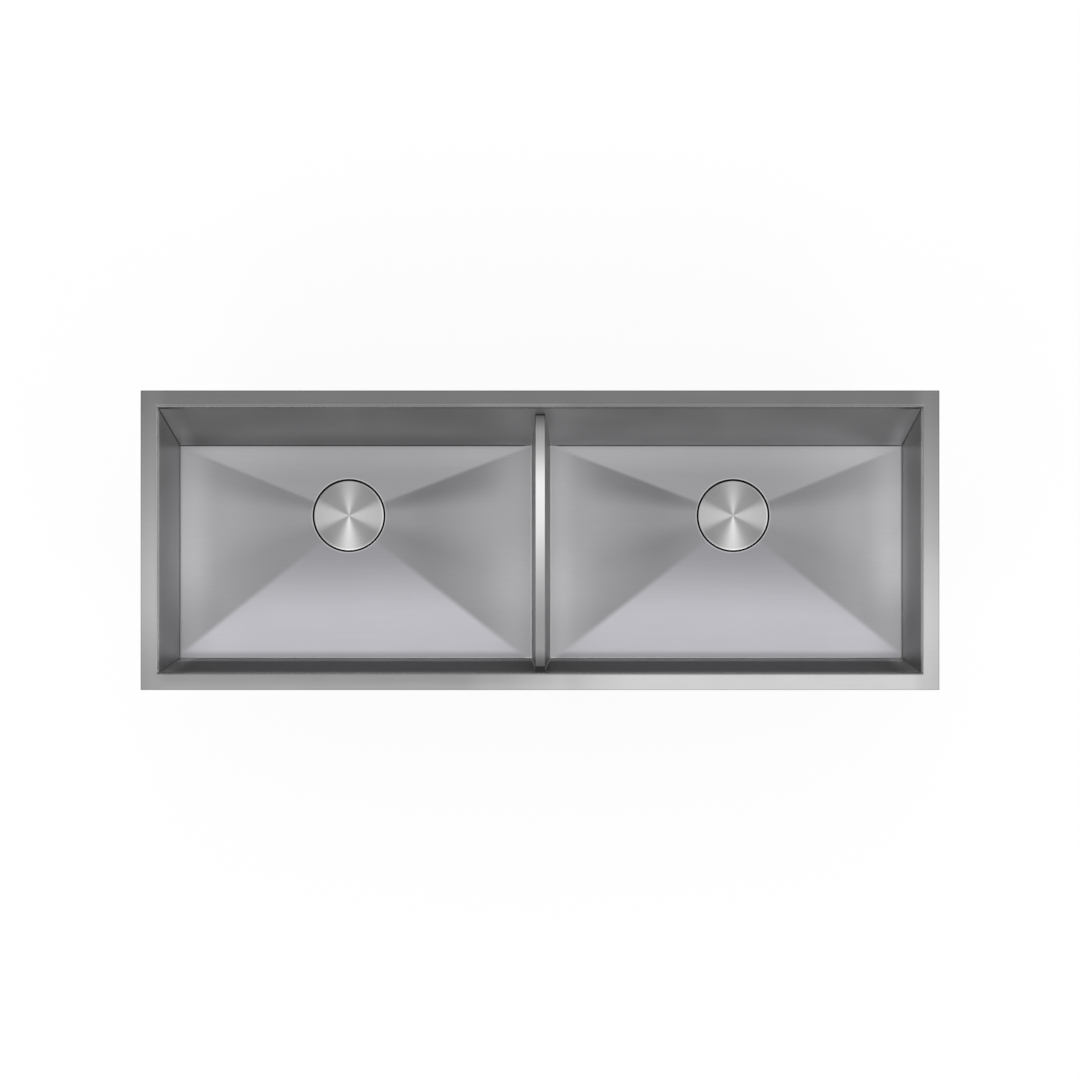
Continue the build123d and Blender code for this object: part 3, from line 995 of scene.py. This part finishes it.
class SINK_OT_covers(bpy.types.Operator):
    """Model the drain covers with their rolled edges and finish their rings"""

    bl_idname = "sink.covers"
    bl_label = "Drain covers"

    def execute(self, context):
        # Near black and almost without gloss: a real rubber ring that also stands for the shadow
        # in the gap round each cover, as painted shade.
        black = rubber("ring rubber and gap shadow", context.scene.sink_finish.rubber, 0.7, gloss=0.05)
        for side in SIDES:
            node = f"{side}_drain_cover"
            low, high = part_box(node)
            axis = centre_of(node)
            cover = lathed(f"{side}_cover_plate", axis, self.outline(low.z, high.z), 160)
            finish = turned_steel(
                f"{side} cover steel", lambda graph: cover_tone(graph, axis), axis
            )
            cover.data.materials.append(finish)
            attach(cover, f"{side}_cover")
            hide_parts(node)
            shade(cover)
            softened(f"{side}_cover_ring", f"{side}_rubber_ring", black, 0.0003)
        return {"FINISHED"}

    def outline(self, low, high):
        """The plate's outline, with a rolled top edge and a broken lower one."""
        roll = 0.0009
        points = [(0.0002, low), (COVER_RADIUS - 0.0003, low), (COVER_RADIUS, low + 0.0003)]
        for step in range(5):
            turn = math.radians(90 * step / 4)
            out = COVER_RADIUS - roll * (1 - math.cos(turn))
            points.append((out, high - roll * (1 - math.sin(turn))))
        return [*points, (0.0002, high)]


class SINK_OT_strainers(bpy.types.Operator):
    """Finish the strainers, cut their threads and soften their nuts and gaskets"""

    bl_idname = "sink.strainers"
    bl_label = "Strainers"

    def execute(self, context):
        colours = context.scene.sink_finish
        drawn = steel("drawn steel", 0.58, roughness=0.2, grain=(90, 90, 500))
        black = rubber("gasket rubber", colours.rubber)
        white = plastic("nut plastic", colours.nuts)
        card = plastic("fibre card", (0.62, 0.56, 0.44), 0.8)
        soft = {
            "flange_gasket": (black, "black_rubber", 0.0003),
            "under_gasket": (black, "black_rubber", 0.0005),
            "locknut": (white, "nut_plastic", 0.0008),
            "coupling_nut": (white, "nut_plastic", 0.0008),
        }
        for side in SIDES:
            for node in ("strainer_body", "tailpiece"):
                dress(f"{side}_{node}", drawn)
            for node in ("friction_ring", "tail_washer"):
                dress(f"{side}_{node}", card)
            for node, (finish, slot_name, width) in soft.items():
                softened(f"{side}_{node}", f"{side}_soft_{node}", finish, width)
            self.cut_threads(side, drawn)
        return {"FINISHED"}

    def cut_threads(self, side, finish):
        """The threads of the strainer's cup and neck, below their nuts."""
        axis = centre_of(f"{side}_strainer_body")
        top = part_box(f"{side}_strainer_body")[1].z
        threads = {
            "cup_thread": {
                "radius": 0.0440,
                "low": top - 0.0430,
                "high": top - 0.0235,
                "pitch": 0.0030,
                "depth": 0.0008,
                "steps": 72,
            },
            "neck_thread": {
                "radius": 0.0238,
                "low": top - 0.0775,
                "high": top - 0.0610,
                "pitch": 0.0023,
                "depth": 0.0006,
                "steps": 48,
            },
        }
        for name, sizes in threads.items():
            ridge = thread(f"{side}_{name}", axis, **sizes)
            ridge.data.materials.append(finish)
            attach(ridge, "root")
            shade(ridge, 20)


class SINK_OT_baskets(bpy.types.Operator):
    """Finish the baskets and turn the stoppers' knurled knobs"""

    bl_idname = "sink.baskets"
    bl_label = "Baskets"

    knurls = 24

    def execute(self, context):
        pressed = steel("pressed steel", 0.76, roughness=0.24, grain=(90, 90, 500))
        black = rubber("stopper rubber", context.scene.sink_finish.rubber)
        for side in SIDES:
            dress(f"{side}_basket", pressed)
            dress(f"{side}_stopper_spindle", pressed)
            disc = f"{side}_stopper_disc"
            softened(disc, f"{side}_soft_stopper", black, 0.0004)
            self.turn_knob(side, pressed)
        return {"FINISHED"}

    def turn_knob(self, side, finish):
        """A waisted knob with a dished top and a knurled rim."""
        node = f"{side}_stopper_knob"
        low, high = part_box(node)
        axis = centre_of(node)
        rim = high.x - axis.x
        neck = 0.003
        socket = low.z + 0.0055
        outline = (
            (neck, low.z),
            (0.0055, low.z),
            (0.0047, low.z + 0.002),
            (0.0050, low.z + 0.004),
            (0.0074, low.z + 0.0052),
            (rim, low.z + 0.0062),
            (rim, high.z - 0.0014),
            (rim - 0.0005, high.z - 0.0005),
            (rim - 0.0016, high.z),
            (rim - 0.0028, high.z - 0.0004),
            (0.0002, high.z - 0.0006),
            (0.0002, socket),
            (neck, socket),
        )
        knob = lathed(f"{side}_knob", axis, outline, 2 * self.knurls)
        self.knurl(knob, axis, rim)
        knob.data.materials.append(finish)
        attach(knob, f"{side}_stopper")
        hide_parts(node)
        shade(knob)

    def knurl(self, knob, axis, rim):
        """Sinks every other line of the knob's rim."""
        start_edit(knob, "VERT")
        bpy.ops.mesh.select_all(action="DESELECT")
        shape = bmesh.from_edit_mesh(knob.data)
        for point in shape.verts:
            out = point.co.xy - axis.xy
            line = round(math.atan2(out.y, out.x) / math.pi * self.knurls)
            point.select_set(line % 2 == 1 and out.length > rim - 0.0001)
        shape.select_flush_mode()
        bmesh.update_edit_mesh(knob.data)
        bpy.ops.transform.resize(value=(0.955, 0.955, 1), center_override=axis)
        end_edit()


class SINK_OT_pads(bpy.types.Operator):
    """Soften and finish the sound-deadening pads"""

    bl_idname = "sink.pads"
    bl_label = "Pads"

    def execute(self, context):
        finish = pad_sheet("pad rubber", context.scene.sink_finish.pads)
        for node in ("floor_pads", "wall_pads"):
            softened(node, f"{node}_sheet", finish, 0.0008)
        return {"FINISHED"}


class SINK_OT_clips(bpy.types.Operator):
    """Soften the clips' pressed edges, cut their screws' threads and their claws' teeth"""

    bl_idname = "sink.clips"
    bl_label = "Clips"

    teeth = 4
    tooth_depth = 0.0012

    def execute(self, context):
        tint = context.scene.sink_finish.plating
        plated = zinc("zinc plate", tint)
        welded = zinc("welded zinc plate", tint, welded=True)
        softened("clip_brackets", "bracket_plates", welded, 0.0004)
        for number in CLIPS:
            screw = f"clip_screw_{number}"
            softened(screw, f"clip_bolt_{number}", plated, 0.0004)
            self.cut_thread(number, plated)
            self.cut_claw(number, plated)
        return {"FINISHED"}

    def cut_thread(self, number, finish):
        """The thread of a clip's screw, between its head and its collar."""
        node = f"clip_screw_{number}"
        low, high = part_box(node)
        sizes = {
            "radius": 0.0030,
            "low": low.z + 0.0050,
            "high": high.z - 0.0085,
            "pitch": 0.00125,
            "depth": 0.0002,
            "steps": 16,
        }
        ridge = thread(f"clip_thread_{number}", centre_of(node), **sizes)
        ridge.data.materials.append(finish)
        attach(ridge, node)
        shade(ridge, 20)

    def cut_claw(self, number, finish):
        """A claw with softened edges, and teeth along the top of its lip."""
        node = f"clip_claw_{number}"
        claw = copy_of(node, f"clip_jaw_{number}", (finish,))
        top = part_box(node)[1].z
        middle = centre_of(node).y
        start_edit(claw)
        select_folds(
            claw,
            lambda angle, spot: angle > SHARP_FOLD
            and spot.z > top - 1e-5
            and abs(spot.y - middle) < 0.001,
        )
        bpy.ops.mesh.subdivide(number_cuts=2 * self.teeth - 1)
        self.sink_valleys(claw, top)
        end_edit()
        soften(claw, 0.0003)
        shade(claw)

    def sink_valleys(self, claw, top):
        """Lowers every other point of the lip's top."""
        bpy.ops.mesh.select_mode(type="VERT")
        bpy.ops.mesh.select_all(action="DESELECT")
        shape = bmesh.from_edit_mesh(claw.data)
        lip = [point for point in shape.verts if point.co.z > top - 1e-5]
        start = min(point.co.y for point in lip)
        step = (max(point.co.y for point in lip) - start) / (2 * self.teeth)
        for point in lip:
            point.select_set(round((point.co.y - start) / step) % 2 == 1)
        shape.select_flush_mode()
        bmesh.update_edit_mesh(claw.data)
        bpy.ops.transform.translate(value=(0, 0, -self.tooth_depth))


class SINK_OT_stage(bpy.types.Operator):
    """Set the pale floor, the soft lamps and the camera"""

    bl_idname = "sink.stage"
    bl_label = "Stage"

    floor_gap = 0.001
    floor_size = 30
    paper_white = 0.9
    sky_strength = 0.8
    lamp_size = 1.8
    camera_place = (0.030, -0.355)
    camera_shift = (-0.0185, 0.219)

    def execute(self, context):
        settings = context.scene.sink_stage
        self.make_floor()
        self.make_world(context)
        self.make_lamps(settings)
        self.make_camera(context, settings)
        context.scene.view_settings.view_transform = "Standard"
        return {"FINISHED"}

    def background_rays(self, graph):
        """1 for rays that see the background: from the camera, or through gloss or glass."""
        kinds = ("Is Camera Ray", "Is Glossy Ray", "Is Transmission Ray")
        rays = [graph.add("ShaderNodeLightPath", output=kind) for kind in kinds]
        return rays[0].most(*rays[1:])

    def make_floor(self):
        bpy.ops.object.select_all(action="DESELECT")
        spot = (0, 0, cad_box[0].z - self.floor_gap)
        bpy.ops.mesh.primitive_plane_add(size=self.floor_size, location=spot)
        floor = bpy.context.object
        floor.name = "studio_floor"
        bpy.ops.object.transform_apply(location=True)
        graph = material("studio floor")
        seen = self.background_rays(graph)
        speckle = graph.noise((60, 60, 60))
        colour = graph.tinted((1, 1, 1), 0.985 + speckle * 0.01)
        plain = graph.add("ShaderNodeBsdfDiffuse", {}, {"Color": colour})
        white = graph.add("ShaderNodeEmission", {}, {"Strength": 1.0})
        mixed = graph.add("ShaderNodeMixShader", {}, [seen * self.paper_white, plain, white])
        graph.add("ShaderNodeOutputMaterial", {}, {"Surface": mixed})
        floor.data.materials.append(graph.owner)

    def make_world(self, context):
        world = bpy.data.worlds.new("studio")
        context.scene.world = world
        graph = Graph(world)
        strength = self.sky_strength + self.background_rays(graph) * (1 - self.sky_strength)
        values = {"Color": (1, 1, 1, 1), "Strength": strength}
        light = graph.add("ShaderNodeBackground", {}, values)
        graph.add("ShaderNodeOutputWorld", {}, {"Surface": light})

    def make_lamps(self, settings):
        places = {
            "front_left_lamp": (-1.7, -2.5, 2.4),
            "front_right_lamp": (1.7, -2.5, 2.4),
            "back_lamp": (0, 3.0, 2.4),
        }
        for name, spot in places.items():
            bpy.ops.object.light_add(type="AREA", location=spot)
            lamp = bpy.context.object
            lamp.name = name
            lamp.data.shape = "DISK"
            lamp.data.size = self.lamp_size
            lamp.data.energy = settings.lamp_power
            lamp.visible_camera = False
            lamp.rotation_euler = Vector(spot).to_track_quat("Z", "Y").to_euler()

    def make_camera(self, context, settings):
        spot = (*self.camera_place, settings.camera_height)
        bpy.ops.object.camera_add(location=spot)
        camera = bpy.context.object
        camera.name = "camera"
        camera.rotation_euler = (0, 0, 0)
        camera.data.sensor_width = 36
        camera.data.lens = settings.lens
        camera.data.shift_x = self.camera_shift[0]
        camera.data.shift_y = self.camera_shift[1]
        camera.data.clip_end = 50
        context.scene.camera = camera


PIECES = (
    SINK_OT_flange,
    SINK_OT_bowls,
    SINK_OT_divider,
    SINK_OT_covers,
    SINK_OT_strainers,
    SINK_OT_baskets,
    SINK_OT_pads,
    SINK_OT_clips,
    SINK_OT_stage,
)


class SINK_PT_panel(bpy.types.Panel):
    """The sink's pieces in the sidebar"""

    bl_idname = "SINK_PT_panel"
    bl_label = "Sink"
    bl_space_type = "VIEW_3D"
    bl_region_type = "UI"
    bl_category = "Sink"

    def draw(self, context):
        for piece in PIECES:
            self.layout.operator(piece.bl_idname)
        scene = context.scene
        for settings in (scene.sink_sheet, scene.sink_finish, scene.sink_stage):
            box = self.layout.box()
            for name in settings.__annotations__:
                box.prop(settings, name)


CLASSES = (SheetSettings, FinishSettings, StageSettings, *PIECES, SINK_PT_panel)


def register():
    for item in CLASSES:
        bpy.utils.register_class(item)
    bpy.types.Scene.sink_sheet = PointerProperty(type=SheetSettings)
    bpy.types.Scene.sink_finish = PointerProperty(type=FinishSettings)
    bpy.types.Scene.sink_stage = PointerProperty(type=StageSettings)


def unregister():
    del bpy.types.Scene.sink_stage
    del bpy.types.Scene.sink_finish
    del bpy.types.Scene.sink_sheet
    for item in reversed(CLASSES):
        bpy.utils.unregister_class(item)


def main():
    register()
    for piece in PIECES:
        group, name = piece.bl_idname.split(".")
        getattr(getattr(bpy.ops, group), name)()


if __name__ == "__main__":
    main()
